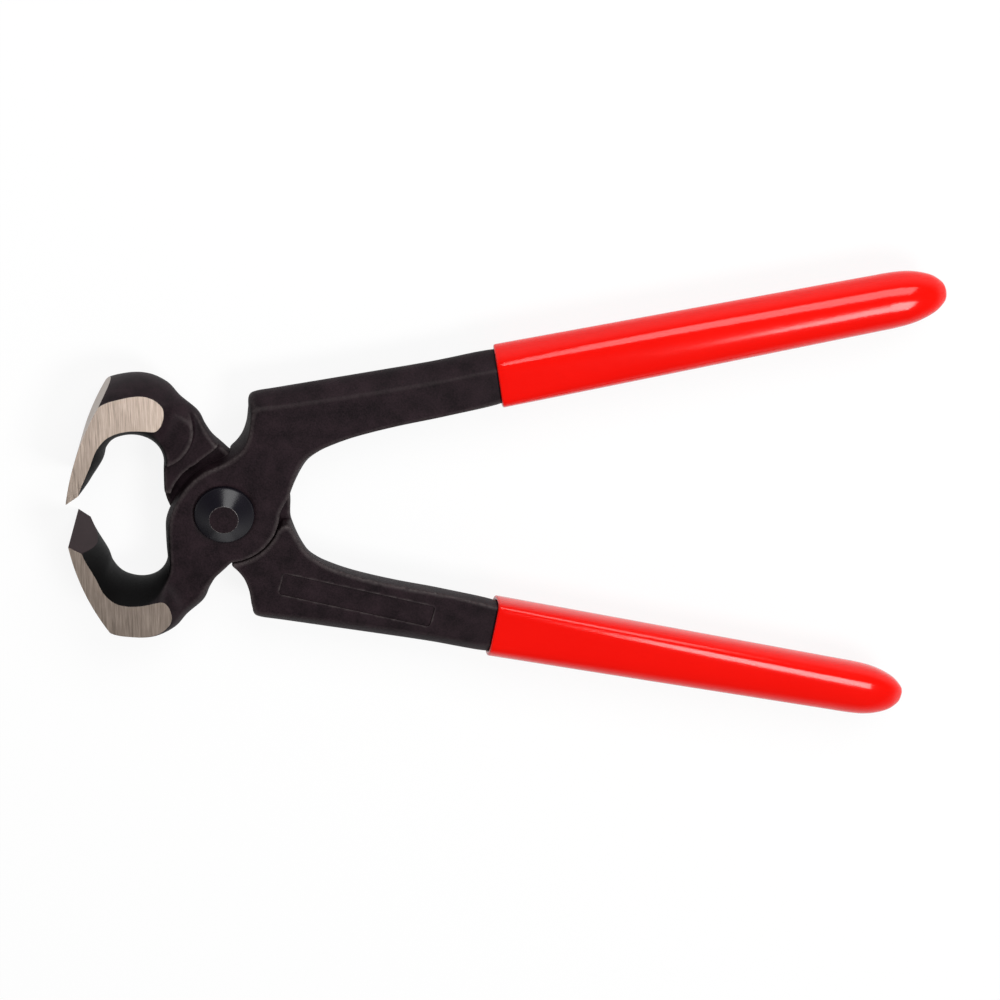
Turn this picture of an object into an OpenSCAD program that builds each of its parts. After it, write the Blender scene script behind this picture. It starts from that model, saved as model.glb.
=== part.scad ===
// End cutting nippers of the carpenter's pincer kind: two forged levers lapped on one
// rivet, alike but for the size of their laps, with ground jaws and dipped grips.
// Millimetres. The origin is on the pivot axis, in the plane where the two levers meet.
// +X runs along the tool to the handles, +Y to the front lever's handle and +Z along the
// rivet.

/* [Tool] */
// Length over everything with the jaws shut
closed_length = 180; // [170:1:200]
// Angle between the levers past shut, in the pose that is drawn
opening = 18.3; // [6:0.1:28]
// Distance from the pivot axis to the cutting edges
jaw_reach = 30.9; // [29:0.1:33]

/* [Jaws] */
// Width of the cutting edges
jaw_width = 19.3; // [17:0.1:22]
// Taper of the ground side faces from the edge towards the joint, in degrees
side_flare = 10.2; // [8:0.1:12]
// Lean of the ground side faces towards the back of the jaw, in degrees
side_lean = 2.3; // [0:0.1:4]
// Distance from the tool's axis to the back of a shut jaw
jaw_depth = 25.2; // [24:0.1:28]
// Radius of the back of a jaw
back_radius = 9.2; // [8:0.1:10]
// Distance from the cutting edge to the front wall of the mouth
jaw_wall = 5.1; // [4.5:0.1:6]
// Distance from the tool's axis to the floor of the mouth
mouth_floor = 13.3; // [12.5:0.1:14.5]
// Distance from the pivot axis to the rear wall of the mouth
mouth_back = 13.2; // [12.6:0.1:13.6]
// Radius of the ground bevel on the outside of the edges
bevel_radius = 55; // [45:1:65]
// Angle of the short flat inside the cutting edge
flat_angle = 42; // [35:1:50]
// How far a cutting edge stands past the axis of its lever
edge_rise = 0.35; // [0.1:0.05:0.5]

/* [Joint] */
// Thickness over both laps, and of the handles
joint_thickness = 8.4; // [7.6:0.1:9.6]
// Radius of the round laps at the pivot
hub_radius = 11; // [10.6:0.1:11.2]
// Radius of the wide part of the rear lever's lap, towards the handles
wide_hub_radius = 13.1; // [12.6:0.1:13.4]
// Running gap round the lap
hub_clearance = 0.25; // [0.15:0.05:0.4]
// Running gap between the two lap faces
lap_clearance = 0.1; // [0.05:0.01:0.2]
// Height of the ledge between that recess and the neck, above the lap face
ledge_height = 1.9; // [1.2:0.1:2.6]
// Radius of the round step from the ledge up to the neck
ledge_radius = 8.1; // [7.6:0.1:8.6]

/* [Rivet] */
// Radius of the rivet's shank
shank_radius = 4; // [3:0.1:5]
// Radial running clearance of the shank in the rear lever
shank_clearance = 0.05; // [0.02:0.01:0.09]
// Radius of the rivet's heads
head_radius = 6; // [5.5:0.1:6.5]
// Height of a head above the lever's face
head_height = 3; // [2:0.1:3.4]
// Height of the upright rim of a head above the lever's face
head_rim = 0.7; // [0.4:0.1:1.2]
// Radius of the flat on a head
head_flat_radius = 2.85; // [2:0.05:3.5]
// Depth of the shallow seat under a head
seat_depth = 0.3; // [0.2:0.05:0.5]
// Gap round a head in its seat
seat_clearance = 0.2; // [0.1:0.05:0.4]

/* [Handles] */
// Distance along the tool from the pivot axis to the handle's shoulder
shoulder_reach = 8; // [7.6:0.1:8.8]
// Distance from the tool's axis to the outside of the handle at the shoulder
shoulder_height = 23.2; // [22.5:0.1:24.5]
// How far the rounded outside of the handle swells past its flat faces
outer_swell = 3; // [2:0.1:3.4]
// How far the inside of the handle swells past its flat faces
inner_swell = 0.4; // [0.2:0.1:1]
// How far the inside of the handle slopes in from the plain face to the lap face
inner_slope = 2.4; // [1.5:0.1:3]
// Gap between the heels of the two shut levers
heel_gap = 0.6; // [0.4:0.1:1]
// Length of the shallow panel on the handle
panel_length = 32; // [24:1:36]
// Width of that panel
panel_width = 4.8; // [3.5:0.1:5.5]
// Depth of that panel
panel_depth = 0.3; // [0.2:0.05:0.5]

/* [Grips] */
// Distance along the tool from the pivot axis to the start of a grip
grip_start = 58.3; // [52:0.1:64]
// Width of a grip where it starts
grip_width = 14.4; // [13.6:0.1:15]
// Width of a grip before its rounded end
grip_end_width = 12.2; // [11:0.1:13]
// Distance from the tool's axis to the middle of a grip where it starts
grip_start_height = 18; // [17.6:0.1:18.6]
// Distance from the tool's axis to the middle of a grip before its rounded end
grip_end_height = 21.4; // [20:0.1:25]
// Length of the rounded end
grip_nose = 11.5; // [9:0.1:14]
// Thickness of the dipped coat
grip_wall = 0.9; // [0.6:0.05:1.2]
// Gap between the steel and the coat
grip_fit = 0.04; // [0.02:0.01:0.1]

/* [Hidden] */
$fn = 96;

half_joint = joint_thickness / 2;
half_jaw = jaw_width / 2;
mouth_radius = (jaw_reach - mouth_back - jaw_wall) / 2;
handle_end = closed_length - jaw_reach;
mouth_centre = [-mouth_back - mouth_radius, mouth_radius - mouth_floor];
back_shift = 0.7;
back_centre = [mouth_centre.x + back_shift, back_radius - jaw_depth];
heel = heel_gap / 2;
stop_angle = 72;
stop_lean = 124;
horn_angle = 8;
horn_end = -mouth_back - 3;
heel_angle = 8;
lap_core = [-1, 1];
lap_start = 264;
wide_start = 293;
wide_room_angle = 70;
web_angle = 12;
web_head = [13.5, 1.9];
web_root = web_head + [-1, 2];
wall_angle = 222;
wall_foot = [10, -10];
reach = 60;
ledge_corner = [-14, -23, 0];
ledge_room = [12, 23, reach];
ledge_centre = [-16.4, -15.3, 0];
ground_end = -11;
bevel_run = 12;
flat_room = [15, 8];
flat_start = -8;
panel_place = [13.4, 13.6];
panel_turn = 5.2;
panel_corner = 0.8;
overcut = 1;
steel_color = [0.13, 0.12, 0.13];
grip_color = [0.86, 0.09, 0.06];

// A point on a circle, by its centre, radius and angle
function on_circle(centre, radius, angle) = centre + radius * [cos(angle), sin(angle)];

// A station across the lever holds the point on its back, the point on its mouth side,
// the half height, how far the back and the mouth side swell past the flat faces, how far
// the flat faces themselves bulge, and how far the two sides slope in towards the lap face.
function station(back, mouth, half_height, swell, bulge = 0, slope = [0, 0]) =
    [back.x, back.y, mouth.x, mouth.y, half_height, swell[0], swell[1], bulge, slope[0], slope[1]];

function on_mouth(angle, proud = 0) = on_circle(mouth_centre, mouth_radius - proud, angle);
function on_back(angle, proud = 0) = on_circle(back_centre, back_radius + proud, angle);

// The jaw, from just past the cutting edge to the neck
jaw_stations = [
    station([-jaw_reach - 1.8, 1.2], [-jaw_reach + 2.6, 1.2], half_jaw + 1, [0.6, 1.0], 0.3),
    station([-jaw_reach - 1.6, -4.5], [-jaw_reach + 3.9, -2.8], half_jaw + 1, [0.7, 1.9], 0.4),
    station([-jaw_reach - 0.6, -10.5], on_mouth(179, 0.6), half_jaw + 0.8, [0.9, 2.9], 0.6),
    station([-jaw_reach + 1.2, -17], on_mouth(204, 0.4), half_jaw + 0.4, [1.1, 3.2], 0.8),
    station(on_back(214, 1.3), on_mouth(229), half_jaw - 0.1, [1.8, 3.1], 0.9),
    station(on_back(243, 0.3), on_mouth(252), half_jaw - 0.8, [2.3, 2.9], 1.1),
    station(on_back(271), on_mouth(275), half_jaw - 1.65, [2.1, 2.7], 1.2),
    station(on_back(297), on_mouth(298), half_jaw - 2.75, [2.1, 2.3], 1.4),
];

// The neck, as far as the round lap
neck_stations = [
    station(on_back(319), on_mouth(320), half_joint + 0.35, [2.3, 1.8], 0.3),
    station([-8, -19.4], on_mouth(341), half_joint, [1.7, 1.3]),
    station([-6.2, -16.7], [-mouth_back, -6.4], half_joint, [1.1, 1.3]),
    station([-4.3, -14.3], [-mouth_back + 0.4, -3.6], half_joint, [0.7, 1.3]),
    station([-2.3, -12.5], [-mouth_back + 1, -0.6], half_joint, [0.3, 1.2]),
    station([0.2, -10.6], [-mouth_back + 2.3, 1.9], half_joint, [0.2, 0.7]),
    station([3.5, -8.5], [-mouth_back + 4.4, 4.6], half_joint, [0.2, 0.4]),
    station([6.5, -6.2], [-mouth_back + 7.2, 7.4], half_joint, [0.2, 0.3]),
    station([9, -3.4], [-mouth_back + 10.7, 9.5], half_joint, [0.2, 0.3]),
];

// The heel, the shoulder and the handle as far as the grip
handle_stations = [
    station([11.3, heel + 0.3], [1.1, 10.7], half_joint, [0.2, 0.3], 0, [0, 0.2]),
    station([13.2, heel + 0.3], [3.8, 12.2], half_joint, [0.2, 0.3], 0, [0.2, 0.5]),
    station([14.2, heel + 1.3], [shoulder_reach - 2.3, 14.1], half_joint, [0.2, 0.3], 0, [0.7, 0.9]),
    station([15.5, heel + 2.9], [shoulder_reach - 0.9, 16.7], half_joint, [0.3, 0.3], 0,
        [inner_slope / 2, 1.1]),
    station([17, heel + 4.6], [shoulder_reach, shoulder_height - 3.2], half_joint, [0.4, 0.5], 0,
        [inner_slope * 0.7, 1.1]),
    station([18.6, heel + 6], [shoulder_reach + 0.7, shoulder_height - 0.7], half_joint,
        [inner_swell, 1.6], 0, [inner_slope * 0.9, 0.5]),
    station([20.5, heel + 7], [shoulder_reach + 2.2, shoulder_height], half_joint,
        [inner_swell, outer_swell - 0.3], 0, [inner_slope, 0]),
    station([23.4, heel + 8.1], [14.5, shoulder_height + 0.1], half_joint, [inner_swell, outer_swell], 0,
        [inner_slope, 0]),
    station([29, heel + 9.2], [24, shoulder_height + 0.25], half_joint, [inner_swell, outer_swell], 0,
        [inner_slope, 0]),
    station([37.4, heel + 10], [35, shoulder_height + 0.4], half_joint, [inner_swell, outer_swell], 0,
        [inner_slope, 0]),
    station([47, heel + 10.5], [46, shoulder_height + 0.6], half_joint, [inner_swell, outer_swell], 0,
        [inner_slope, 0]),
];

// Middle height and width of a grip at a place along the tool
grip_straight_end = handle_end - grip_nose;
function grip_share(x) = (x - grip_start) / (grip_straight_end - grip_start);
function grip_middle(x) = grip_start_height + (grip_end_height - grip_start_height) * grip_share(x);
function grip_wide(x) = grip_width + (grip_end_width - grip_width) * grip_share(x);

// A station of the grip, drawn in by an inset all round and scaled for the nose
function grip_station(x, inset, scale) =
    let(
        half = (grip_wide(x) / 2) * scale - inset,
        middle = grip_middle(x),
        slope = inner_slope * (1 - 0.3 * grip_share(x))
    )
    station([x, middle - half], [x, middle + half], (half_joint + grip_wall) * scale - inset,
        [(inner_swell + 0.4) * scale, outer_swell * scale], 0, [slope * scale, 0]);

// The steel inside the grip stops short of the coat's nose
grip_places = [for (share = [0, 0.25, 0.5, 0.75, 1]) grip_start + share * (grip_straight_end - grip_start)];
nose_shares = [[0.3, 0.965], [0.55, 0.86], [0.78, 0.67], [0.93, 0.42], [1, 0.16]];
tang_shares = [[0.28, 0.95], [0.5, 0.8], [0.68, 0.58]];

function tang_stations(grow) = concat(
    [for (x = grip_places) grip_station(x, grip_wall - grow, 1)],
    [for (s = tang_shares) grip_station(grip_straight_end + s[0] * grip_nose, grip_wall - grow, s[1])]);
function coat_stations() = concat(
    [grip_station(grip_start, 0.35, 1)],
    [for (x = [grip_start + 0.5, for (i = [1:4]) grip_places[i]]) grip_station(x, 0, 1)],
    [for (s = nose_shares) grip_station(grip_straight_end + s[0] * grip_nose, 0, s[1])]);

// Smooth curve through stations, with a number of steps between each two
function between(a, b, c, d, t) =
    0.5 * (2 * b + (c - a) * t + (2 * a - 5 * b + 4 * c - d) * t * t + (3 * b - a - 3 * c + d) * t * t * t);
function smoothed(list, steps) = concat(
    [for (i = [0:len(list) - 2], k = [0:steps - 1])
        between(list[max(i - 1, 0)], list[i], list[i + 1], list[min(i + 2, len(list) - 1)], k / steps)],
    [list[len(list) - 1]]);

// The ring of points of one station: up the back, over the top, down the mouth side, under
rises = [-1, -0.8, -0.5, 0, 0.5, 0.8, 1];
function ring(s) =
    let(
        back = [s[0], s[1]],
        mouth = [s[2], s[3]],
        along = (mouth - back) / norm(mouth - back),
        edge_height = s[4] - s[7],
        back_top = back + along * (s[5] + s[8]),
        mouth_top = mouth - along * (s[6] + s[9]),
        back_foot = back + along * s[5],
        mouth_foot = mouth - along * s[6]
    )
    concat(
        [for (r = rises) let(p = back + along * (s[5] * r * r + s[8] * (1 + r) / 2))
            [p.x, p.y, r * edge_height]],
        [for (t = [0.2, 0.5, 0.8]) let(p = back_top + (mouth_top - back_top) * t)
            [p.x, p.y, s[4] - s[7] * pow(2 * t - 1, 2)]],
        [for (r = rises) let(p = mouth - along * (s[6] * r * r + s[9] * (1 - r) / 2))
            [p.x, p.y, -r * edge_height]],
        [for (t = [0.8, 0.5, 0.2]) let(p = back_foot + (mouth_foot - back_foot) * t)
            [p.x, p.y, -s[4] + s[7] * pow(2 * t - 1, 2)]]);

// Middle of a ring, about which an end of a skin is closed
function middle(ring) = [for (axis = [0:2]) [for (p = ring) p[axis]] * [for (p = ring) 1] / len(ring)];

// Closed skin over a row of stations
module skin(stations) {
    rings = [for (s = stations) ring(s)];
    count = len(rings[0]);
    last = len(rings) - 1;
    first_middle = (last + 1) * count;
    polyhedron(
        points = concat([for (r = rings, p = r) p], [middle(rings[0]), middle(rings[last])]),
        faces = concat(
            [for (j = [0:count - 1]) [first_middle, (j + 1) % count, j]],
            [for (i = [0:last - 1], j = [0:count - 1], half = [0, 1])
                let(
                    here = i * count + j,
                    next = i * count + (j + 1) % count
                )
                half == 0 ? [here, next, here + count] : [next, next + count, here + count]],
            [for (j = [0:count - 1]) [first_middle + 1, last * count + j, last * count + (j + 1) % count]]));
}

// Everything of a lever's plain half that the other lever's lap turns through
module lap_recess(other_hub) {
    recess_radius = hub_radius + hub_clearance;
    foot_radius = hub_radius + hub_clearance / 2;
    wall_start = on_circle([0, 0], foot_radius, wall_angle);
    stop_start = on_circle([0, 0], foot_radius, stop_angle);
    translate([0, 0, lap_clearance / 2 - reach]) {
        cylinder(r = recess_radius, h = reach);
        linear_extrude(reach) polygon([[0, 0], wall_start, on_circle(wall_start, reach, wall_angle + 90),
            wall_foot]);
        linear_extrude(reach) polygon([[0, 0], stop_start, on_circle(stop_start, reach, stop_lean),
            [horn_end, reach], [horn_end, horn_end * tan(horn_angle)]]);
        linear_extrude(reach) polygon([[0, 0], [web_head.x + hub_clearance, -web_head.y],
            on_circle([0, 0], recess_radius, web_angle)]);
        if (other_hub > hub_radius) intersection() {
            cylinder(r = other_hub + hub_clearance, h = reach);
            linear_extrude(reach) polygon([[0, 0], [0, -reach], [reach, -reach],
                on_circle([0, 0], reach, wide_room_angle)]);
        }
    }
    translate([0, 0, -ledge_height - reach]) difference() {
        translate(ledge_corner) cube(ledge_room);
        translate(ledge_centre) cylinder(r = ledge_radius, h = reach);
    }
}

// A round lap from a start angle to the heel
module hub(radius, start_angle) {
    intersection() {
        cylinder(r = radius, h = half_joint);
        linear_extrude(half_joint) polygon([lap_core, on_circle([0, 0], reach, start_angle), [reach, -reach],
            on_circle([0, 0], reach, heel_angle)]);
    }
}

// The lap with its wide part, and the web from its edge up to the crotch
module lap(own_hub) {
    hub(hub_radius, lap_start);
    if (own_hub > hub_radius) hub(own_hub, wide_start);
    web_foot = on_circle([0, 0], own_hub - hub_clearance / 2, -web_angle);
    linear_extrude(half_joint) polygon([[0, 0], web_foot, web_head, web_root]);
}

// The two ground side faces, the outer bevel and the cutting flat
module ground_faces() {
    for (side = [0, 1]) mirror([0, 0, side]) intersection() {
        translate([-jaw_reach, 0, half_jaw]) rotate([side_lean, side_flare, 0])
            translate([-reach / 2, -reach / 2, 0]) cube(reach);
        translate([ground_end - reach, -reach / 2, 0]) cube(reach);
    }
    translate([0, 0, -reach / 2]) linear_extrude(reach) difference() {
        translate([-jaw_reach - reach, -reach]) square([reach + bevel_run, 2 * reach]);
        translate([bevel_radius - jaw_reach, 0]) circle(r = bevel_radius, $fn = 360);
    }
    translate([-jaw_reach, edge_rise, -reach / 2]) rotate([0, 0, -flat_angle]) linear_extrude(reach)
        translate([flat_start, 0]) square(flat_room);
}

// The plain panel that is pressed into the handle's back face
module panel() {
    half_width = panel_width / 2;
    translate([panel_place.x, panel_place.y, -half_joint - overcut]) rotate([0, 0, panel_turn])
        linear_extrude(overcut + panel_depth) {
            translate([panel_corner, -half_width]) square([panel_length - 2 * panel_corner, panel_width]);
            translate([0, panel_corner - half_width]) square([panel_length, panel_width - 2 * panel_corner]);
            for (x = [panel_corner, panel_length - panel_corner], y = [-1, 1])
                translate([x, y * (half_width - panel_corner)]) circle(r = panel_corner, $fn = 32);
        }
}

// One lever with its jaws shut: handle towards +Y, jaw towards -Y, lap on the +Z side
module lever(bore_radius, own_hub, other_hub) {
    difference() {
        union() {
            skin(smoothed(concat(jaw_stations, neck_stations, handle_stations, tang_stations(0)), 2));
            lap(own_hub);
        }
        lap_recess(other_hub);
        ground_faces();
        panel();
        translate([0, 0, -overcut]) cylinder(r = bore_radius, h = joint_thickness);
        translate([0, 0, half_joint - seat_depth])
            cylinder(r = head_radius + seat_clearance, h = joint_thickness);
    }
}

// The coat over a lever's tang
module grip() {
    mouth_of_coat = grip_station(grip_start, grip_wall - grip_fit, 1);
    before_coat = [for (i = [0:9]) i == 0 || i == 2 ? grip_start - overcut : mouth_of_coat[i]];
    difference() {
        skin(smoothed(coat_stations(), 2));
        skin(smoothed(concat([before_coat], tang_stations(grip_fit)), 2));
    }
}

module front_side() { rotate([0, 0, opening / 2]) children(); }
module rear_side() { rotate([180, 0, 0]) rotate([0, 0, opening / 2]) children(); }

module front_lever() { color(steel_color) front_side() lever(shank_radius, hub_radius, wide_hub_radius); }
module rear_lever() {
    color(steel_color) rear_side() lever(shank_radius + shank_clearance, wide_hub_radius, hub_radius);
}
module front_grip() { color(grip_color) front_side() grip(); }
module rear_grip() { color(grip_color) rear_side() grip(); }

// Shank and two raised heads, each a short cylinder and a cone with a flat top
module pivot_rivet() {
    seat = half_joint - seat_depth;
    rim = half_joint + head_rim;
    top = half_joint + head_height;
    rear_seat = seat + lap_clearance / 2;
    color(steel_color) rotate_extrude() polygon([
        [0, -top], [head_flat_radius, -top], [head_radius, -rim], [head_radius, -rear_seat],
        [shank_radius, -rear_seat], [shank_radius, seat], [head_radius, seat], [head_radius, rim],
        [head_flat_radius, top], [0, top]]);
}

front_lever();
rear_lever();
pivot_rivet();
front_grip();
rear_grip();
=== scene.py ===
"""Looks of the end cutting nippers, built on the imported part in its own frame.

Sizes are in millimetres, as in the part's source, and each finished mesh is brought to metres.
A lever is drawn with its jaws shut, its handle towards +X on the +Y side and its lap on the +Z
side, and is then turned to its place in the tool.
"""
import math

import bmesh
import bpy
import numpy as np
from mathutils import Matrix, Vector


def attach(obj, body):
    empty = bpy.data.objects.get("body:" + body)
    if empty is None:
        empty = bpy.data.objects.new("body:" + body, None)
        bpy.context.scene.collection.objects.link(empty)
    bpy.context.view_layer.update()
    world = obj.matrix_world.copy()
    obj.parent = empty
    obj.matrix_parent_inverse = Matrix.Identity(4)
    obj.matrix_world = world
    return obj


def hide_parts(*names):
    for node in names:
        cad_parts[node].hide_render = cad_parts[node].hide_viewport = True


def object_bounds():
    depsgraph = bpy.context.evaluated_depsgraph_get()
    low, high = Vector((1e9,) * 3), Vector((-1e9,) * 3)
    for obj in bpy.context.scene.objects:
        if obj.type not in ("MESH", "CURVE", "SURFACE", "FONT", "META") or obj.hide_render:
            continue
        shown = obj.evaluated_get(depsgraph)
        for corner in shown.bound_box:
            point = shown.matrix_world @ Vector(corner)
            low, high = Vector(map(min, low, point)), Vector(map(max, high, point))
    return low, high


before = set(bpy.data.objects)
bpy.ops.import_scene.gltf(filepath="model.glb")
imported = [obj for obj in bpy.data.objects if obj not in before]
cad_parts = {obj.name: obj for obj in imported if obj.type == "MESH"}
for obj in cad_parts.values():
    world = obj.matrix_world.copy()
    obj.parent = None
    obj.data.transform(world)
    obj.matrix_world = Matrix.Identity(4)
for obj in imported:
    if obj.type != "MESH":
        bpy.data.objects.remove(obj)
cad_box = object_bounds()

MILLIMETRE = 0.001

# Tool
CLOSED_LENGTH = 180
OPENING = 18.3
JAW_REACH = 30.9

# Jaws
JAW_WIDTH = 19.3
SIDE_FLARE = 10.2
SIDE_LEAN = 2.3
JAW_DEPTH = 25.2
BACK_RADIUS = 9.2
BACK_SHIFT = 0.7
JAW_WALL = 5.1
MOUTH_FLOOR = 13.3
MOUTH_BACK = 13.2
BEVEL_RADIUS = 55
BEVEL_START = 168
BEVEL_SWEEP = 50
FLAT_ANGLE = 42
EDGE_RISE = 0.35

# Joint
JOINT_THICKNESS = 8.4
HUB_RADIUS = 11
WIDE_HUB_RADIUS = 13.1
HUB_CLEARANCE = 0.25
LAP_CLEARANCE = 0.1
LEDGE_HEIGHT = 1.9
LEDGE_RADIUS = 8.1
LEDGE_CENTRE = (-16.4, -15.3)
LEDGE_LOW = (-14, -23)
LEDGE_HIGH = (-2, 0)
STOP_ANGLE = 72
STOP_LEAN = 124
HORN_ANGLE = 8
HORN_ROOM = 3
HEEL_ANGLE = 8
LAP_CORE = (-1, 1)
LAP_START = 264
WIDE_START = 293
WIDE_ROOM_ANGLE = 70
WEB_ANGLE = 12
WEB_HEAD = (13.5, 1.9)
WEB_ROOT = (12.5, 3.9)
WALL_ANGLE = 222
WALL_FOOT = (10, -10)
GROUND_END = -11

# Rivet
SHANK_RADIUS = 4
HEAD_RADIUS = 6
HEAD_HEIGHT = 3
HEAD_RIM = 0.7
RIM_FILLET = 0.5
HEAD_FLAT_RADIUS = 2.85
FLAT_FILLET = 0.25
SEAT_DEPTH = 0.3
SEAT_CLEARANCE = 0.2

# Handles
SHOULDER_REACH = 8
SHOULDER_HEIGHT = 23.2
OUTER_SWELL = 3
INNER_SWELL = 0.4
INNER_SLOPE = 2.4
HEEL = 0.3
PANEL_LENGTH = 32
PANEL_WIDTH = 4.8
PANEL_DEPTH = 0.3
PANEL_CORNER = 0.8
PANEL_PLACE = (13.4, 13.6)
PANEL_TURN = 5.2

# Grips
GRIP_START = 58.3
GRIP_WIDTH = 14.4
GRIP_END_WIDTH = 12.2
GRIP_START_HEIGHT = 18
GRIP_END_HEIGHT = 21.4
GRIP_NOSE = 11.5
GRIP_WALL = 0.9
GRIP_FIT = 0.04
GRIP_EXTRA_SWELL = 0.4
GRIP_SLOPE_LOSS = 0.3
FULL_TANG_LENGTH = 4
HIDDEN_TANG_ROOM = 1.6

# Shares of the nose's length, with the scale of the section there
TANG_NOSE = ((0.28, 0.95), (0.5, 0.8), (0.68, 0.58))
COAT_NOSE = ((0.3, 0.965), (0.55, 0.86), (0.78, 0.67), (0.93, 0.42), (0.985, 0.24), (1, 0.1))

# Fineness of the meshes
FORGING_VOXEL = 0.3
FORGING_SMOOTHING = 7
SMOOTHING_FACTOR = 0.5
STATION_STEPS = 8
GRIP_SECTIONS = 5
RISES = np.linspace(-1, 1, 17)
FACE_SHARES = np.linspace(0, 1, 9)[1:-1]
ROUND_STEPS = 96
PANEL_CORNER_STEP = 15
FILLET_STEPS = 6
PROFILE_STEP = 0.3
LIP_STEPS = 12
GRIP_ROUND_POINTS = 80
GRIP_LIP_PASSES = 6
GRIP_NOSE_PASSES = 60
GRIP_WITHIN = 0.998
SHARP_ANGLE = 38

# Cutting tools: past everything, just past a face, clear of the jaw, and the block that cuts the flat
FAR = 60
OVERCUT = 1
GRINDER_ROOM = 20
FLAT_TOOL = ((-8, 0), (7, 0), (7, 8), (-8, 8))

# Distances within which points are one, or a face lies on a ground one
SAME_PLACE = 1e-6
ON_FACE = 0.01

# Cosine above which directions agree, and a length that keeps a division from zero
SAME_WAY = 0.9999
TINY = 1e-9

# Finishes of a lever, in the order of its materials
FORGED = 0
GROUND = 1
HONED = 2

# Wear of the ridges and round the rivet's flat, partly painted highlight on the levers' ridges, and
# painted shade darkening the mouth
RIDGE_PASSES = 4
WORN_HEIGHT = 0.5
MOUTH_SHADE_FACING = (0.2, 0.7)
MOUTH_SHADE_REACH = 4

# Colours of the finishes, as linear red, green and blue
SCALE_DARK = (0.0055, 0.0025, 0.0038)
SCALE_LIGHT = (0.02, 0.0105, 0.014)
# Partly painted highlight: this lighter colour on the levers' ridges is rubbed wear and also stands in for
# the glint of light on the rounded edges
SCALE_RUBBED_AND_GLINT = (0.075, 0.062, 0.062)
# Painted shade: the near-black colour that stands in for the shade inside the mouth
PAINTED_MOUTH_SHADE = (0.0006, 0.0004, 0.0005)
GROUND_DARK = (0.2, 0.16, 0.132)
GROUND_LIGHT = (0.52, 0.425, 0.36)
HONED_DARK = (0.022, 0.012, 0.0135)
HONED_LIGHT = (0.042, 0.024, 0.027)
BLUED_DARK = (0.004, 0.0035, 0.006)
BLUED_LIGHT = (0.009, 0.0075, 0.012)
BLUED_RUBBED = (0.5, 0.46, 0.44)
VINYL_DEEP = (0.76, 0.003, 0.001)
VINYL_BRIGHT = (0.82, 0.005, 0.002)

# Colours of the surroundings, with alpha
PAPER = (0.9, 0.9, 0.9, 1)
WHITE = (1, 1, 1, 1)

# Least and most roughness of the finishes
FORGED_ROUGHNESS = (0.5, 0.7)
GROUND_ROUGHNESS = (0.28, 0.4)
HONED_ROUGHNESS = (0.45, 0.6)
RIVET_ROUGHNESS = (0.2, 0.3)
VINYL_ROUGHNESS = (0.1, 0.16)

# Ends of the noise that show as the mottle, the speckle and the grinding marks
MOTTLE = (0.75, 1.25)
SPECKLE = (0.35, 0.65)
GRINDING_MARKS = (0.25, 0.75)
GRINDING_LINES_PER_METRE = (4200, 150, 4200)

# Rays that see the surroundings, and how white the floor is to each
SEEING_RAYS = ("Is Camera Ray", "Is Glossy Ray", "Is Transmission Ray")
FLOOR_WHITENESS = (0.88, 0.5, 0.88)
FLOOR_DROP = 0.05
FLOOR_REACH = 3000

# Soft light on the tool, and what reflections see from the horizon up to the ceiling
SOFT_LIGHT = 0.3
CEILING_RISES = (0.05, 0.5)
HORIZON_LIGHT = 1
CEILING_LIGHT = 0.1

# Lamps: place and size in metres and power in watts, and the point they face
SOFT_BOX = ((0.4, -0.1, 0.75), (0.26, 0.26), 3.6)
FAR_LAMP = ((0.2, 0.52, 0.56), (0.5, 0.35), 3.8)
LAMP_AIM = (0.05, 0, 0)

# The photograph's view of the tool, as fitted to the picture
CAMERA_PLACE = (21.2, 169.8, 393.9)
CAMERA_RIGHT = (0.9967, 0.0251, 0.0766)
CAMERA_VIEW = (0.0803, -0.3929, -0.9161)
SENSOR_WIDTH = 36
FOCAL_LENGTH = 75.8
NEAREST_SEEN = 10

HALF_JOINT = JOINT_THICKNESS / 2
HALF_JAW = JAW_WIDTH / 2
HORN_END = -MOUTH_BACK - HORN_ROOM
MOUTH_RADIUS = (JAW_REACH - MOUTH_BACK - JAW_WALL) / 2
HANDLE_END = CLOSED_LENGTH - JAW_REACH
GRIP_STRAIGHT_END = HANDLE_END - GRIP_NOSE
GRIP_PLACES = np.linspace(GRIP_START, GRIP_STRAIGHT_END, GRIP_SECTIONS)
MOUTH_CENTRE = (-MOUTH_BACK - MOUTH_RADIUS, MOUTH_RADIUS - MOUTH_FLOOR)
BACK_CENTRE = (MOUTH_CENTRE[0] + BACK_SHIFT, BACK_RADIUS - JAW_DEPTH)
BEVEL_CENTRE = (BEVEL_RADIUS - JAW_REACH, 0)


def on_circle(centre, radius, degrees):
    angle = math.radians(degrees)
    return np.array([centre[0] + radius * math.cos(angle), centre[1] + radius * math.sin(angle)])


def circle(centre, radius):
    return [on_circle(centre, radius, 360 * i / ROUND_STEPS) for i in range(ROUND_STEPS)]


def on_mouth(degrees, proud=0):
    return on_circle(MOUTH_CENTRE, MOUTH_RADIUS - proud, degrees)


def on_back(degrees, proud=0):
    return on_circle(BACK_CENTRE, BACK_RADIUS + proud, degrees)


def station(back, mouth, half_height, swell, bulge=0, slope=(0, 0)):
    """A cross-section of a forging, by its back point, its mouth-side point and its height.

    The two sides swell past the flat faces, these bulge, and the sides slope in towards the lap.
    """
    return np.array([*back, *mouth, half_height, *swell, bulge, *slope], float)


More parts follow.
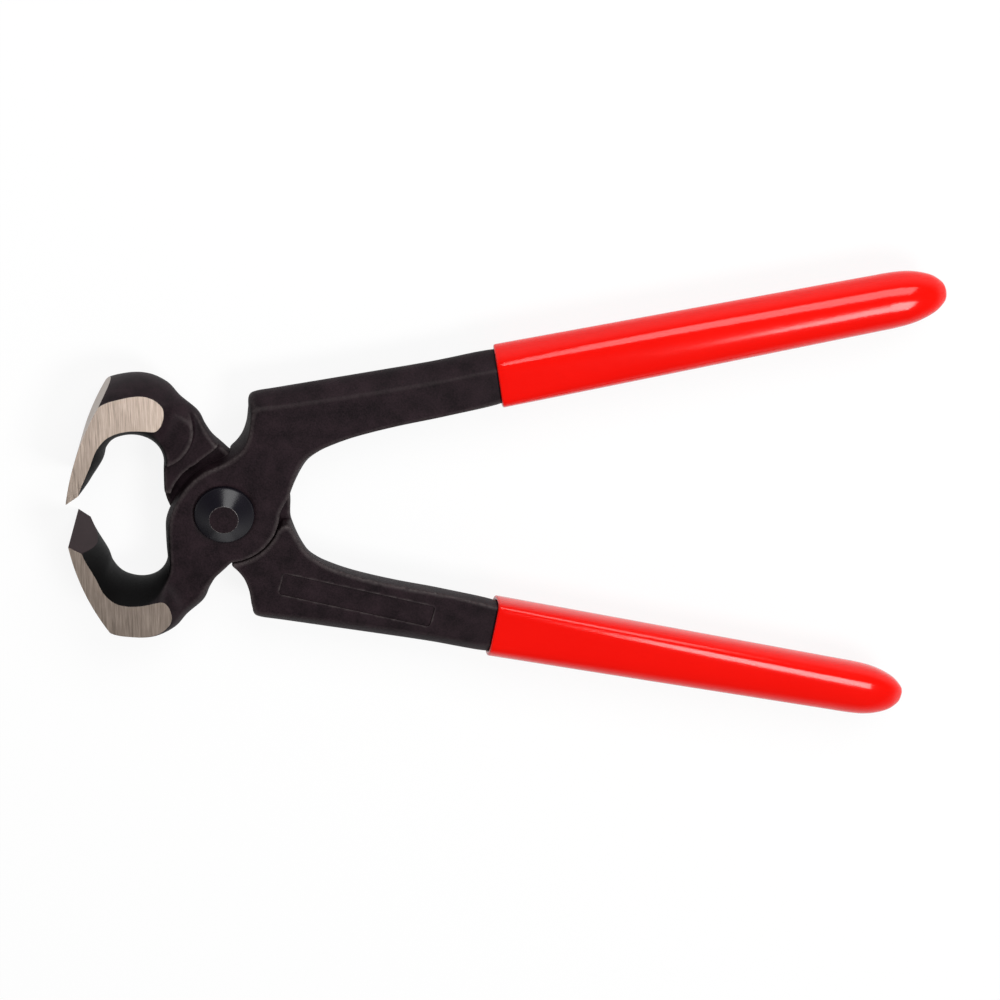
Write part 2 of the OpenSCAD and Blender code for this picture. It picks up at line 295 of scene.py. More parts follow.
def jaw_stations():
    """The jaw, from just past the cutting edge to the neck."""
    tip = -JAW_REACH
    return [
        station((tip - 1.8, 1.2), (tip + 2.6, 1.2), HALF_JAW + 1, (0.6, 1.0), 0.3),
        station((tip - 1.6, -4.5), (tip + 3.9, -2.8), HALF_JAW + 1, (0.7, 1.9), 0.4),
        station((tip - 0.6, -10.5), on_mouth(179, 0.6), HALF_JAW + 0.8, (0.9, 2.9), 0.6),
        station((tip + 1.2, -17), on_mouth(204, 0.4), HALF_JAW + 0.4, (1.1, 3.2), 0.8),
        station(on_back(214, 1.3), on_mouth(229), HALF_JAW - 0.1, (1.8, 3.1), 0.9),
        station(on_back(243, 0.3), on_mouth(252), HALF_JAW - 0.8, (2.3, 2.9), 1.1),
        station(on_back(271), on_mouth(275), HALF_JAW - 1.65, (2.1, 2.7), 1.2),
        station(on_back(297), on_mouth(298), HALF_JAW - 2.75, (2.1, 2.3), 1.4),
    ]


def neck_stations():
    """The neck, as far as the round lap."""
    wall = -MOUTH_BACK
    return [
        station(on_back(319), on_mouth(320), HALF_JOINT + 0.35, (2.3, 1.8), 0.3),
        station((-8, -19.4), on_mouth(341), HALF_JOINT, (1.7, 1.3)),
        station((-6.2, -16.7), (wall, -6.4), HALF_JOINT, (1.1, 1.3)),
        station((-4.3, -14.3), (wall + 0.4, -3.6), HALF_JOINT, (0.7, 1.3)),
        station((-2.3, -12.5), (wall + 1, -0.6), HALF_JOINT, (0.3, 1.2)),
        station((0.2, -10.6), (wall + 2.3, 1.9), HALF_JOINT, (0.2, 0.7)),
        station((3.5, -8.5), (wall + 4.4, 4.6), HALF_JOINT, (0.2, 0.4)),
        station((6.5, -6.2), (wall + 7.2, 7.4), HALF_JOINT, (0.2, 0.3)),
        station((9, -3.4), (wall + 10.7, 9.5), HALF_JOINT, (0.2, 0.3)),
    ]


def handle_stations():
    """The heel, the shoulder and the handle as far as the grip."""
    swell = (INNER_SWELL, OUTER_SWELL)
    slope = (INNER_SLOPE, 0)
    reach = SHOULDER_REACH
    top = SHOULDER_HEIGHT
    return [
        station((11.3, HEEL + 0.3), (1.1, 10.7), HALF_JOINT, (0.2, 0.3), 0, (0, 0.2)),
        station((13.2, HEEL + 0.3), (3.8, 12.2), HALF_JOINT, (0.2, 0.3), 0, (0.2, 0.5)),
        station((14.2, HEEL + 1.3), (reach - 2.3, 14.1), HALF_JOINT, (0.2, 0.3), 0, (0.7, 0.9)),
        station((15.5, HEEL + 2.9), (reach - 0.9, 16.7), HALF_JOINT, (0.3, 0.3), 0,
                (INNER_SLOPE * 0.5, 1.1)),
        station((17, HEEL + 4.6), (reach, top - 3.2), HALF_JOINT, (0.4, 0.5), 0,
                (INNER_SLOPE * 0.7, 1.1)),
        station((18.6, HEEL + 6), (reach + 0.7, top - 0.7), HALF_JOINT, (INNER_SWELL, 1.6), 0,
                (INNER_SLOPE * 0.9, 0.5)),
        station((20.5, HEEL + 7), (reach + 2.2, top), HALF_JOINT, (INNER_SWELL, OUTER_SWELL - 0.3), 0,
                slope),
        station((23.4, HEEL + 8.1), (14.5, top + 0.1), HALF_JOINT, swell, 0, slope),
        station((29, HEEL + 9.2), (24, top + 0.25), HALF_JOINT, swell, 0, slope),
        station((37.4, HEEL + 10), (35, top + 0.4), HALF_JOINT, swell, 0, slope),
        station((47, HEEL + 10.5), (46, top + 0.6), HALF_JOINT, swell, 0, slope),
    ]


def grip_station(x, inset, scale=1.0):
    """A cross-section of a grip, drawn in all round by an inset and scaled for the nose."""
    share = (x - GRIP_START) / (GRIP_STRAIGHT_END - GRIP_START)
    middle = GRIP_START_HEIGHT + (GRIP_END_HEIGHT - GRIP_START_HEIGHT) * share
    half = (GRIP_WIDTH + (GRIP_END_WIDTH - GRIP_WIDTH) * share) / 2 * scale - inset
    height = (HALF_JOINT + GRIP_WALL) * scale - inset
    swell = ((INNER_SWELL + GRIP_EXTRA_SWELL) * scale, OUTER_SWELL * scale)
    slope = (INNER_SLOPE * (1 - GRIP_SLOPE_LOSS * share) * scale, 0)
    return station((x, middle - half), (x, middle + half), height, swell, 0, slope)


def nose_stations(nose, inset):
    """The rounded end of a grip, or of the steel in it."""
    return [grip_station(GRIP_STRAIGHT_END + share * GRIP_NOSE, inset, scale) for share, scale in nose]


def tang_stations(inset, hidden_inset):
    """The steel inside a grip, or the hollow that it fills, with its own inset behind the lip."""
    lip = [grip_station(GRIP_START, inset), grip_station(GRIP_START + FULL_TANG_LENGTH, hidden_inset)]
    straight = [grip_station(x, hidden_inset) for x in GRIP_PLACES[1:]]
    return lip + straight + nose_stations(TANG_NOSE, hidden_inset)


def smoothed(stations):
    """Stations on a smooth curve through the given ones."""
    last = len(stations) - 1
    rows = []
    for i in range(last):
        before, here, there, after = (stations[min(max(k, 0), last)] for k in range(i - 1, i + 3))
        for step in range(STATION_STEPS):
            t = step / STATION_STEPS
            rows.append(0.5 * (2 * here + (there - before) * t
                               + (2 * before - 5 * here + 4 * there - after) * t ** 2
                               + (3 * here - before - 3 * there + after) * t ** 3))
    rows.append(stations[last])
    return rows


def ring(row):
    """The points round one station: up the back, over the top, down the mouth side and under."""
    back, mouth = row[0:2], row[2:4]
    height, back_swell, mouth_swell, bulge, back_slope, mouth_slope = row[4:10]
    along = (mouth - back) / np.linalg.norm(mouth - back)
    edge = height - bulge
    points = []
    for rise in RISES:
        spot = back + along * (back_swell * rise ** 2 + back_slope * (1 + rise) / 2)
        points.append((*spot, rise * edge))
    start = back + along * (back_swell + back_slope)
    end = mouth - along * (mouth_swell + mouth_slope)
    for share in FACE_SHARES:
        points.append((*(start + (end - start) * share), height - bulge * (2 * share - 1) ** 2))
    for rise in RISES:
        spot = mouth - along * (mouth_swell * rise ** 2 + mouth_slope * (1 - rise) / 2)
        points.append((*spot, -rise * edge))
    start = mouth - along * mouth_swell
    end = back + along * back_swell
    for share in FACE_SHARES:
        points.append((*(start + (end - start) * share), -height + bulge * (2 * share - 1) ** 2))
    return points


def rounded_ring(points, passes):
    """A ring with evenly spread points and rounded corners, just within its old width and height."""
    points = np.array(points)
    low, high = points.min(axis=0), points.max(axis=0)
    closed = np.vstack([points, points[:1]])
    walked = np.concatenate([[0], np.cumsum(np.linalg.norm(np.diff(closed, axis=0), axis=1))])
    even = np.linspace(0, walked[-1], GRIP_ROUND_POINTS, endpoint=False)
    points = np.stack([np.interp(even, walked, closed[:, axis]) for axis in range(3)], axis=1)
    for _ in range(passes):
        points = (np.roll(points, 1, axis=0) + 2 * points + np.roll(points, -1, axis=0)) / 4
    new_low, new_high = points.min(axis=0), points.max(axis=0)
    stretch = GRIP_WITHIN * (high - low) / (new_high - new_low + TINY)
    points[:, 1:] = ((low + high) / 2 + (points - (new_low + new_high) / 2) * stretch)[:, 1:]
    return points


def mesh_piece(name, points, faces):
    """A new piece from points and faces, with its faces turned outwards."""
    mesh = bpy.data.meshes.new(name)
    mesh.from_pydata([tuple(float(v) for v in p) for p in points], [], faces)
    form = bmesh.new()
    form.from_mesh(mesh)
    bmesh.ops.remove_doubles(form, verts=form.verts, dist=SAME_PLACE)
    bmesh.ops.recalc_face_normals(form, faces=form.faces)
    form.to_mesh(mesh)
    form.free()
    piece = bpy.data.objects.new(name, mesh)
    bpy.context.scene.collection.objects.link(piece)
    return piece


def skin(name, rings):
    """A closed skin over a row of rings, each end closed about its middle."""
    count = len(rings[0])
    points = [p for points_round in rings for p in points_round]
    first_middle = len(points)
    points += [np.mean(rings[0], axis=0), np.mean(rings[-1], axis=0)]
    faces = []
    for i in range(len(rings) - 1):
        for j in range(count):
            here, beside = i * count + j, i * count + (j + 1) % count
            faces.append((here, beside, beside + count, here + count))
    tail = (len(rings) - 1) * count
    for j in range(count):
        faces.append((first_middle, (j + 1) % count, j))
        faces.append((first_middle + 1, tail + j, tail + (j + 1) % count))
    return mesh_piece(name, points, faces)


def height_at(limit, point):
    """A height that is given as a number or as a function of place."""
    return limit(*point) if callable(limit) else limit


def prism(name, outline, low, high):
    """An outline in the plane of the tool, drawn up between two heights."""
    count = len(outline)
    points = [(*p, height_at(limit, p)) for limit in (low, high) for p in outline]
    faces = [tuple(range(count)), tuple(range(count, 2 * count))]
    faces += [(i, (i + 1) % count, count + (i + 1) % count, count + i) for i in range(count)]
    return mesh_piece(name, points, faces)


def disc(name, centre, radius, low, high):
    return prism(name, circle(centre, radius), low, high)


def settle(piece):
    """Makes the result of a piece's modifiers its mesh."""
    shown = piece.evaluated_get(bpy.context.evaluated_depsgraph_get())
    old = piece.data
    new = bpy.data.meshes.new_from_object(shown)
    piece.modifiers.clear()
    piece.data = new
    bpy.data.meshes.remove(old)


def combine(piece, tool, operation="DIFFERENCE"):
    """Cuts a tool out of a piece, or joins or crosses them, and removes the tool."""
    modifier = piece.modifiers.new("Combine", "BOOLEAN")
    modifier.operation = operation
    modifier.solver = "MANIFOLD"
    modifier.object = tool
    settle(piece)
    bpy.data.objects.remove(tool)


def soften(piece):
    """Rounds all edges as forging and scaling do, by remeshing finely and smoothing."""
    remesh = piece.modifiers.new("Remesh", "REMESH")
    remesh.mode = "VOXEL"
    remesh.voxel_size = FORGING_VOXEL
    smooth = piece.modifiers.new("Smooth", "SMOOTH")
    smooth.factor = SMOOTHING_FACTOR
    smooth.iterations = FORGING_SMOOTHING
    settle(piece)


def side_face_height(x, y):
    """Height of the ground side face over a place in the lever's plane."""
    normal = side_face_normal()
    return HALF_JAW - (normal.x * (x + JAW_REACH) + normal.y * y) / normal.z


def side_face_normal():
    flare = Matrix.Rotation(math.radians(SIDE_FLARE), 3, "Y")
    lean = Matrix.Rotation(math.radians(SIDE_LEAN), 3, "X")
    return flare @ lean @ Vector((0, 0, 1))


def lap_part(radius, start_angle):
    """A round lap from a start angle to the heel."""
    part = disc("lap_part", (0, 0), radius, 0, HALF_JOINT)
    outer = [on_circle((0, 0), FAR, start_angle), (FAR, -FAR), on_circle((0, 0), FAR, HEEL_ANGLE)]
    combine(part, prism("lap_wedge", [LAP_CORE, *outer], -OVERCUT, FAR), "INTERSECT")
    return part


def add_lap(lever, own_hub):
    """Puts on the lap, its wide part, and the web from its edge up to the crotch."""
    combine(lever, lap_part(HUB_RADIUS, LAP_START), "UNION")
    if own_hub > HUB_RADIUS:
        combine(lever, lap_part(own_hub, WIDE_START), "UNION")
    web_foot = on_circle((0, 0), own_hub - HUB_CLEARANCE / 2, -WEB_ANGLE)
    combine(lever, prism("web", [(0, 0), web_foot, WEB_HEAD, WEB_ROOT], 0, HALF_JOINT), "UNION")


def cut_lap_recess(lever, other_hub):
    """Takes away what the other lever's lap turns through, and the ledge beside it."""
    face = LAP_CLEARANCE / 2
    recess_radius = HUB_RADIUS + HUB_CLEARANCE
    foot_radius = HUB_RADIUS + HUB_CLEARANCE / 2
    wall_start = on_circle((0, 0), foot_radius, WALL_ANGLE)
    wall_end = on_circle(wall_start, FAR, WALL_ANGLE + 90)
    wall = [(0, 0), wall_start, wall_end, WALL_FOOT]
    stop_start = on_circle((0, 0), foot_radius, STOP_ANGLE)
    stop_end = on_circle(stop_start, FAR, STOP_LEAN)
    horn_side = HORN_END * math.tan(math.radians(HORN_ANGLE))
    stop = [(0, 0), stop_start, stop_end, (HORN_END, FAR), (HORN_END, horn_side)]
    web_corner = (WEB_HEAD[0] + HUB_CLEARANCE, -WEB_HEAD[1])
    web_room = [(0, 0), web_corner, on_circle((0, 0), recess_radius, WEB_ANGLE)]
    combine(lever, disc("recess", (0, 0), recess_radius, -FAR, face))
    for name, outline in (("wall", wall), ("stop", stop), ("web_room", web_room)):
        combine(lever, prism(name, outline, -FAR, face))
    if other_hub > HUB_RADIUS:
        wide_room = disc("wide_room", (0, 0), other_hub + HUB_CLEARANCE, -FAR, face)
        sector = [(0, 0), (0, -FAR), (FAR, -FAR), on_circle((0, 0), FAR, WIDE_ROOM_ANGLE)]
        combine(wide_room, prism("sector", sector, -2 * FAR, FAR), "INTERSECT")
        combine(lever, wide_room)
    (left, low), (right, high) = LEDGE_LOW, LEDGE_HIGH
    ledge = prism("ledge", [(left, low), (right, low), (right, high), (left, high)], -FAR, -LEDGE_HEIGHT)
    combine(ledge, disc("ledge_step", LEDGE_CENTRE, LEDGE_RADIUS, -2 * FAR, FAR))
    combine(lever, ledge)


def panel():
    """The shallow panel pressed into the handle's plain face."""
    half = PANEL_WIDTH / 2 - PANEL_CORNER
    corners = [(PANEL_LENGTH - PANEL_CORNER, half, 0), (PANEL_CORNER, half, 90),
               (PANEL_CORNER, -half, 180), (PANEL_LENGTH - PANEL_CORNER, -half, 270)]
    outline = [on_circle((x, y), PANEL_CORNER, start + turn)
               for x, y, start in corners for turn in range(0, 91, PANEL_CORNER_STEP)]
    turn = Matrix.Rotation(math.radians(PANEL_TURN), 2)
    outline = [Vector(PANEL_PLACE) + turn @ Vector(p) for p in outline]
    return prism("panel", outline, -HALF_JOINT - OVERCUT, -HALF_JOINT + PANEL_DEPTH)


def grind_jaw(lever):
    """Grinds the two side faces, the outer bevel and the cutting flat."""
    left, right = -JAW_REACH - GRINDER_ROOM, GROUND_END
    around = [(left, -FAR), (right, -FAR), (right, FAR), (left, FAR)]
    combine(lever, prism("side", around, side_face_height, FAR))
    combine(lever, prism("side", around, -FAR, lambda x, y: -side_face_height(x, y)))
    arc = [on_circle(BEVEL_CENTRE, BEVEL_RADIUS, BEVEL_START + turn) for turn in range(BEVEL_SWEEP + 1)]
    combine(lever, prism("bevel", [*arc, (left, arc[-1][1]), (left, arc[0][1])], -FAR, FAR))
    turn = Matrix.Rotation(math.radians(-FLAT_ANGLE), 2)
    outline = [Vector((-JAW_REACH, EDGE_RISE)) + turn @ Vector(p) for p in FLAT_TOOL]
    combine(lever, prism("flat", outline, -FAR, FAR))


def paint_ground_faces(lever):
    """Gives the ground faces and the cutting flat their own finishes, found by where they lie."""
    side_normal = side_face_normal()
    flat_normal = Matrix.Rotation(math.radians(-FLAT_ANGLE), 3, "Z") @ Vector((0, 1, 0))
    edge = Vector((-JAW_REACH, EDGE_RISE, 0))
    lever.data.materials.clear()
    for face in lever.data.polygons:
        centre = face.center
        to_face = side_normal if centre.z > 0 else Vector((side_normal.x, side_normal.y, -side_normal.z))
        on_side = abs(abs(centre.z) - side_face_height(centre.x, centre.y)) < ON_FACE
        faces_side = face.normal.dot(to_face) > SAME_WAY
        on_bevel = abs(math.hypot(centre.x - BEVEL_CENTRE[0], centre.y) - BEVEL_RADIUS) < ON_FACE
        on_flat = abs((centre - edge).dot(flat_normal)) < ON_FACE
        faces_flat = face.normal.dot(flat_normal) > SAME_WAY
        face.material_index = FORGED
        if centre.x < GROUND_END and (on_bevel or (on_side and faces_side)):
            face.material_index = GROUND
        elif centre.x < GROUND_END and on_flat and faces_flat:
            face.material_index = HONED


def sharpen_between_finishes(piece):
    """Keeps the edges sharp where two finishes meet."""
    form = bmesh.new()
    form.from_mesh(piece.data)
    for edge in form.edges:
        if len({face.material_index for face in edge.link_faces}) > 1:
            edge.smooth = False
    form.to_mesh(piece.data)
    form.free()


def point_vectors(mesh, name):
    """The places or the normals of a mesh's points, as rows."""
    values = np.empty(len(mesh.vertices) * 3)
    mesh.vertices.foreach_get(name, values)
    return values.reshape(-1, 3)


def store(mesh, name, values):
    """Stores a value for each point of a mesh, for its finish to read."""
    mesh.attributes.new(name, "FLOAT", "POINT").data.foreach_set("value", values)


def mark_mouth_shade(lever):
    """Stores how far each point of a lever faces into its mouth, where painted shade darkens the steel."""
    to_axis = np.array(MOUTH_CENTRE) - point_vectors(lever.data, "co")[:, :2]
    distance = np.linalg.norm(to_axis, axis=1)
    facing = np.sum(point_vectors(lever.data, "normal")[:, :2] * to_axis, axis=1) / distance
    inside = np.interp(facing, MOUTH_SHADE_FACING, (0, 1)) * (distance < MOUTH_RADIUS + MOUTH_SHADE_REACH)
    # The mouth attribute stored here is the mask of painted shade inside the mouth
    store(lever.data, "mouth", inside)


def mark_ridges(piece, passes, least_height=0):
    """Stores how sharply each point of a piece stands out, smoothed over its neighbours, for the wear.

    Points nearer the middle plane than the least height are left unworn.
    """
    mesh = piece.data
    places = point_vectors(mesh, "co")
    normals = point_vectors(mesh, "normal")
    pairs = np.empty(len(mesh.edges) * 2, dtype=np.int32)
    mesh.edges.foreach_get("vertices", pairs)
    first, second = pairs.reshape(-1, 2).T
    count = len(places)
    neighbours = np.bincount(first, minlength=count) + np.bincount(second, minlength=count)
    run = places[first] - places[second]
    run /= np.linalg.norm(run, axis=1, keepdims=True) + TINY
    ridge = (np.bincount(first, np.sum(normals[first] * run, axis=1), count)
             - np.bincount(second, np.sum(normals[second] * run, axis=1), count)) / neighbours
    for _ in range(passes):
        around = np.bincount(first, ridge[second], count) + np.bincount(second, ridge[first], count)
        ridge = (ridge + around / neighbours) / 2
    ridge[np.abs(places[:, 2]) < least_height] = 0
    store(mesh, "ridge", ridge)


def place(piece, turn, finishes, body, node):
    """Turns a drawn piece to its place, in metres, and puts it on its body for its node."""
    piece.data.transform(Matrix.Scale(MILLIMETRE, 4) @ turn)
    for finish in finishes:
        piece.data.materials.append(finish)
    piece.data.shade_smooth()
    piece.data.set_sharp_from_angle(angle=math.radians(SHARP_ANGLE))
    sharpen_between_finishes(piece)
    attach(piece, body)
    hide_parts(node)


def lever_piece(name, own_hub, other_hub):
    """A forged lever with its lap, its ground jaw and its softened edges."""
    stations = jaw_stations() + neck_stations() + handle_stations()
    stations += tang_stations(GRIP_WALL, GRIP_WALL + HIDDEN_TANG_ROOM)
    lever = skin(name, [ring(row) for row in smoothed(stations)])
    add_lap(lever, own_hub)
    cut_lap_recess(lever, other_hub)
    combine(lever, disc("bore", (0, 0), SHANK_RADIUS, -OVERCUT, JOINT_THICKNESS))
    combine(lever, disc("seat", (0, 0), HEAD_RADIUS + SEAT_CLEARANCE, HALF_JOINT - SEAT_DEPTH, FAR))
    soften(lever)
    combine(lever, panel())
    grind_jaw(lever)
    paint_ground_faces(lever)
    mark_ridges(lever, RIDGE_PASSES)
    mark_mouth_shade(lever)
    return lever


def grip_piece(name):
    """A dipped coat: its outside from the nose to the lip, the rolled lip, and the wall inside."""
    lead = GRIP_STRAIGHT_END - COAT_NOSE[0][0] * GRIP_NOSE
    places = (*GRIP_PLACES[:-1], lead, GRIP_STRAIGHT_END)
    outside = smoothed([grip_station(x, 0) for x in places] + nose_stations(COAT_NOSE, 0))
    wall = GRIP_WALL - GRIP_FIT
    inside = smoothed(tang_stations(wall, wall))
    roll = wall / 2
    rows = [row for row in outside[::-1] if row[0] > GRIP_START + roll]
    for step in range(LIP_STEPS + 1):
        angle = math.pi * step / LIP_STEPS
        rows.append(grip_station(GRIP_START + roll * (1 - math.sin(angle)), roll * (1 - math.cos(angle))))
    rows += [row for row in inside if row[0] > GRIP_START + roll]
    rings = []
    for row in rows:
        share = min(max((row[0] - GRIP_START) / (GRIP_STRAIGHT_END - GRIP_START), 0), 1)
        passes = round(GRIP_LIP_PASSES + (GRIP_NOSE_PASSES - GRIP_LIP_PASSES) * share)
        rings.append(rounded_ring(ring(row), passes))
    return skin(name, rings)


def rounded(corners):
    """A profile through corners given as radius, height and fillet, with an arc at each fillet."""
    points = []
    for i, (r, z, fillet) in enumerate(corners):
        corner = Vector((r, z))
        if not fillet:
            points.append(corner)
            continue
        before = (Vector(corners[i - 1][:2]) - corner).normalized()
        after = (Vector(corners[i + 1][:2]) - corner).normalized()
        half = before.angle(after) / 2
        run = fillet / math.tan(half)
        centre = corner + (before + after).normalized() * (fillet / math.sin(half))
        start, end = corner + before * run - centre, corner + after * run - centre
        sweep = start.angle_signed(end)
        for step in range(FILLET_STEPS + 1):
            points.append(centre + Matrix.Rotation(-sweep * step / FILLET_STEPS, 2) @ start)
    return points


def evenly_filled(points):
    """A profile with points put in, so that none are further apart than the step of a profile."""
    filled = [points[0]]
    for start, end in zip(points, points[1:]):
        parts = max(1, math.ceil((end - start).length / PROFILE_STEP))
        filled += [start.lerp(end, step / parts) for step in range(1, parts + 1)]
    return filled


def rivet_piece(name):
    """The shank and its two set heads, turned from one profile; the flats take the second finish."""
    seat = HALF_JOINT - SEAT_DEPTH
    top = HALF_JOINT + HEAD_HEIGHT
    half_profile = [(HEAD_RADIUS, seat, 0), (HEAD_RADIUS, HALF_JOINT + HEAD_RIM, RIM_FILLET),
                    (HEAD_FLAT_RADIUS, top, FLAT_FILLET), (0, top, 0)]
    lower = [(r, -z, fillet) for r, z, fillet in half_profile[::-1]]
    corners = lower + [(SHANK_RADIUS, -seat, 0), (SHANK_RADIUS, seat, 0)] + half_profile
    profile = evenly_filled(rounded(corners)[1:-1])
    rivet = skin(name, [[(x, y, p.y) for x, y in circle((0, 0), p.x)] for p in profile])
    mark_ridges(rivet, 0, top - WORN_HEIGHT)
    for face in rivet.data.polygons:
        face.material_index = int(abs(face.center.z) > top - ON_FACE)
    return rivet


def add_node(tree, kind, inputs=None, **settings):
    """A node with its settings, its inputs given by name as a value or another node's output."""
    node = tree.nodes.new(kind)
    for name, value in settings.items():
        setattr(node, name, value)
    for name, value in (inputs or {}).items():
        socket = node.inputs[name]
        if isinstance(value, bpy.types.NodeSocket):
            tree.links.new(value, socket)
        else:
            socket.default_value = value
    return node


def ranged(tree, value, low, high, start=0, end=1):
    """A value brought from between low and high to between start and end."""
    inputs = {"Value": value, "From Min": low, "From Max": high, "To Min": start, "To Max": end}
    return add_node(tree, "ShaderNodeMapRange", inputs).outputs["Result"]


def worked_out(tree, operation, first, second):
    """The result of one operation on two values."""
    return add_node(tree, "ShaderNodeMath", {0: first, 1: second}, operation=operation).outputs["Value"]


def largest(tree, *values):
    """The largest of several values."""
    result = values[0]
    for value in values[1:]:
        result = worked_out(tree, "MAXIMUM", result, value)
    return result


def new_group(name, inputs, outputs):
    """An empty shader node group with value inputs and outputs."""
    tree = bpy.data.node_groups.new(name, "ShaderNodeTree")
    for socket_name, value in inputs.items():
        socket = tree.interface.new_socket(socket_name, in_out="INPUT", socket_type="NodeSocketFloat")
        socket.default_value = value
    for socket_name in outputs:
        tree.interface.new_socket(socket_name, in_out="OUTPUT", socket_type="NodeSocketFloat")
    return tree, tree.nodes.new("NodeGroupInput"), tree.nodes.new("NodeGroupOutput")


def forge_grain_group():
    """The fine pits and the broad patches of a surface."""
    scales = {"Pits per metre": 3000, "Patches per metre": 250}
    tree, given, result = new_group("forge_grain", scales, ["Pits", "Patches"])
    here = add_node(tree, "ShaderNodeTexCoord").outputs["Object"]
    fine = {"Vector": here, "Scale": given.outputs["Pits per metre"], "Detail": 3.0, "Roughness": 0.65}
    pits = add_node(tree, "ShaderNodeTexNoise", fine)
    broad = {"Vector": here, "Scale": given.outputs["Patches per metre"], "Detail": 4.0}
    patches = add_node(tree, "ShaderNodeTexNoise", broad)
    tree.links.new(pits.outputs["Fac"], result.inputs["Pits"])
    tree.links.new(patches.outputs["Fac"], result.inputs["Patches"])
    return tree


def edge_wear_and_glint_group(grain):
    """Where edges are lighter, as rubbed wear and painted highlight: the sharp ridges, broken up by the
    grain.
    """
    limits = {"From": 0.08, "To": 0.25, "Breaking up": 0.5}
    tree, given, result = new_group("edge_wear_and_glint", limits, ["Wear"])
    ridges = add_node(tree, "ShaderNodeAttribute", attribute_name="ridge").outputs["Fac"]
    worn = ranged(tree, ridges, given.outputs["From"], given.outputs["To"])
    scales = {"Pits per metre": 1800, "Patches per metre": 400}
    speckle = add_node(tree, "ShaderNodeGroup", scales, node_tree=grain)
    kept = ranged(tree, speckle.outputs["Pits"], *SPECKLE)
    broken = add_node(tree, "ShaderNodeMix", {"Factor": given.outputs["Breaking up"], "A": 1.0, "B": kept})
    wear = worked_out(tree, "MULTIPLY", worn, broken.outputs["Result"])
    tree.links.new(wear, result.inputs["Wear"])
    return tree


def new_finish(name):
    """A material with a Principled shader, and its node tree."""
    finish = bpy.data.materials.new(name)
    finish.use_nodes = True
    return finish, finish.node_tree, finish.node_tree.nodes["Principled BSDF"]


def set_shader(shader, **values):
    for name, value in values.items():
        shader.inputs[name.replace("_", " ")].default_value = value


def mixed_colour(tree, factor, first, second):
    """The colour between two, by a factor."""
    mix = tree.nodes.new("ShaderNodeMix")
    mix.data_type = "RGBA"
    tree.links.new(factor, mix.inputs["Factor"])
    for socket, colour in ((mix.inputs[6], first), (mix.inputs[7], second)):
        if isinstance(colour, bpy.types.NodeSocket):
            tree.links.new(colour, socket)
        else:
            socket.default_value = (*colour, 1)
    return mix.outputs[2]


def roughen(tree, shader, value, limits):
    """Lets a value set the roughness between its limits."""
    tree.links.new(ranged(tree, value, 0, 1, *limits), shader.inputs["Roughness"])


def emboss(tree, shader, height, strength, depth):
    """Lets a value stand out as fine relief, with its depth in metres."""
    relief = add_node(tree, "ShaderNodeBump", {"Height": height, "Strength": strength, "Distance": depth})
    tree.links.new(relief.outputs["Normal"], shader.inputs["Normal"])


def blackened_steel(grain, edge_wear_and_glint):
    """Forged steel under a purple-black scale, lighter at the edges as rubbed wear and painted highlight,
    and darkened in the mouth by painted shade.
    """
    finish, tree, shader = new_finish("blackened_steel")
    set_shader(shader, Specular_IOR_Level=0.13)
    forging = add_node(tree, "ShaderNodeGroup", node_tree=grain)
    limits = {"From": 0.018, "To": 0.14, "Breaking up": 0.6}
    wear = add_node(tree, "ShaderNodeGroup", limits, node_tree=edge_wear_and_glint)
    both = worked_out(tree, "ADD", forging.outputs["Patches"], forging.outputs["Pits"])
    scale = mixed_colour(tree, ranged(tree, both, *MOTTLE), SCALE_DARK, SCALE_LIGHT)
    # Partly painted highlight: the ridges are lightened as worn scale and in place of the glint of light
    # on the rounded edges
    rubbed = mixed_colour(tree, wear.outputs["Wear"], scale, SCALE_RUBBED_AND_GLINT)
    # Painted shade: the mouth mask darkens the steel to near black where the jaw's hollow lies in shade
    mouth = add_node(tree, "ShaderNodeAttribute", attribute_name="mouth").outputs["Fac"]
    steel = mixed_colour(tree, mouth, rubbed, PAINTED_MOUTH_SHADE)
    tree.links.new(steel, shader.inputs["Base Color"])
    roughen(tree, shader, forging.outputs["Pits"], FORGED_ROUGHNESS)
    emboss(tree, shader, forging.outputs["Pits"], strength=0.5, depth=0.0001)
    return finish


def ground_steel():
    """Bare steel with the fine lines of the grinding wheel, which run across the tool."""
    finish, tree, shader = new_finish("ground_steel")
    set_shader(shader, Metallic=1.0)
    here = add_node(tree, "ShaderNodeTexCoord").outputs["Object"]
    stretched = add_node(tree, "ShaderNodeMapping", {"Vector": here, "Scale": GRINDING_LINES_PER_METRE})
    noise = {"Vector": stretched.outputs["Vector"], "Scale": 1.0, "Detail": 4.0, "Roughness": 0.7}
    lines = add_node(tree, "ShaderNodeTexNoise", noise).outputs["Fac"]
    steel = mixed_colour(tree, ranged(tree, lines, *GRINDING_MARKS), GROUND_DARK, GROUND_LIGHT)
    tree.links.new(steel, shader.inputs["Base Color"])
    roughen(tree, shader, lines, GROUND_ROUGHNESS)
    emboss(tree, shader, lines, strength=0.3, depth=0.00004)
    return finish


def honed_steel(grain):
    """Dark steel of the cutting flats, honed smoother than the forging round it."""
    finish, tree, shader = new_finish("honed_steel")
    set_shader(shader, Specular_IOR_Level=0.1)
    honing = add_node(tree, "ShaderNodeGroup", node_tree=grain)
    steel = mixed_colour(tree, honing.outputs["Patches"], HONED_DARK, HONED_LIGHT)
    tree.links.new(steel, shader.inputs["Base Color"])
    roughen(tree, shader, honing.outputs["Pits"], HONED_ROUGHNESS)
    return finish


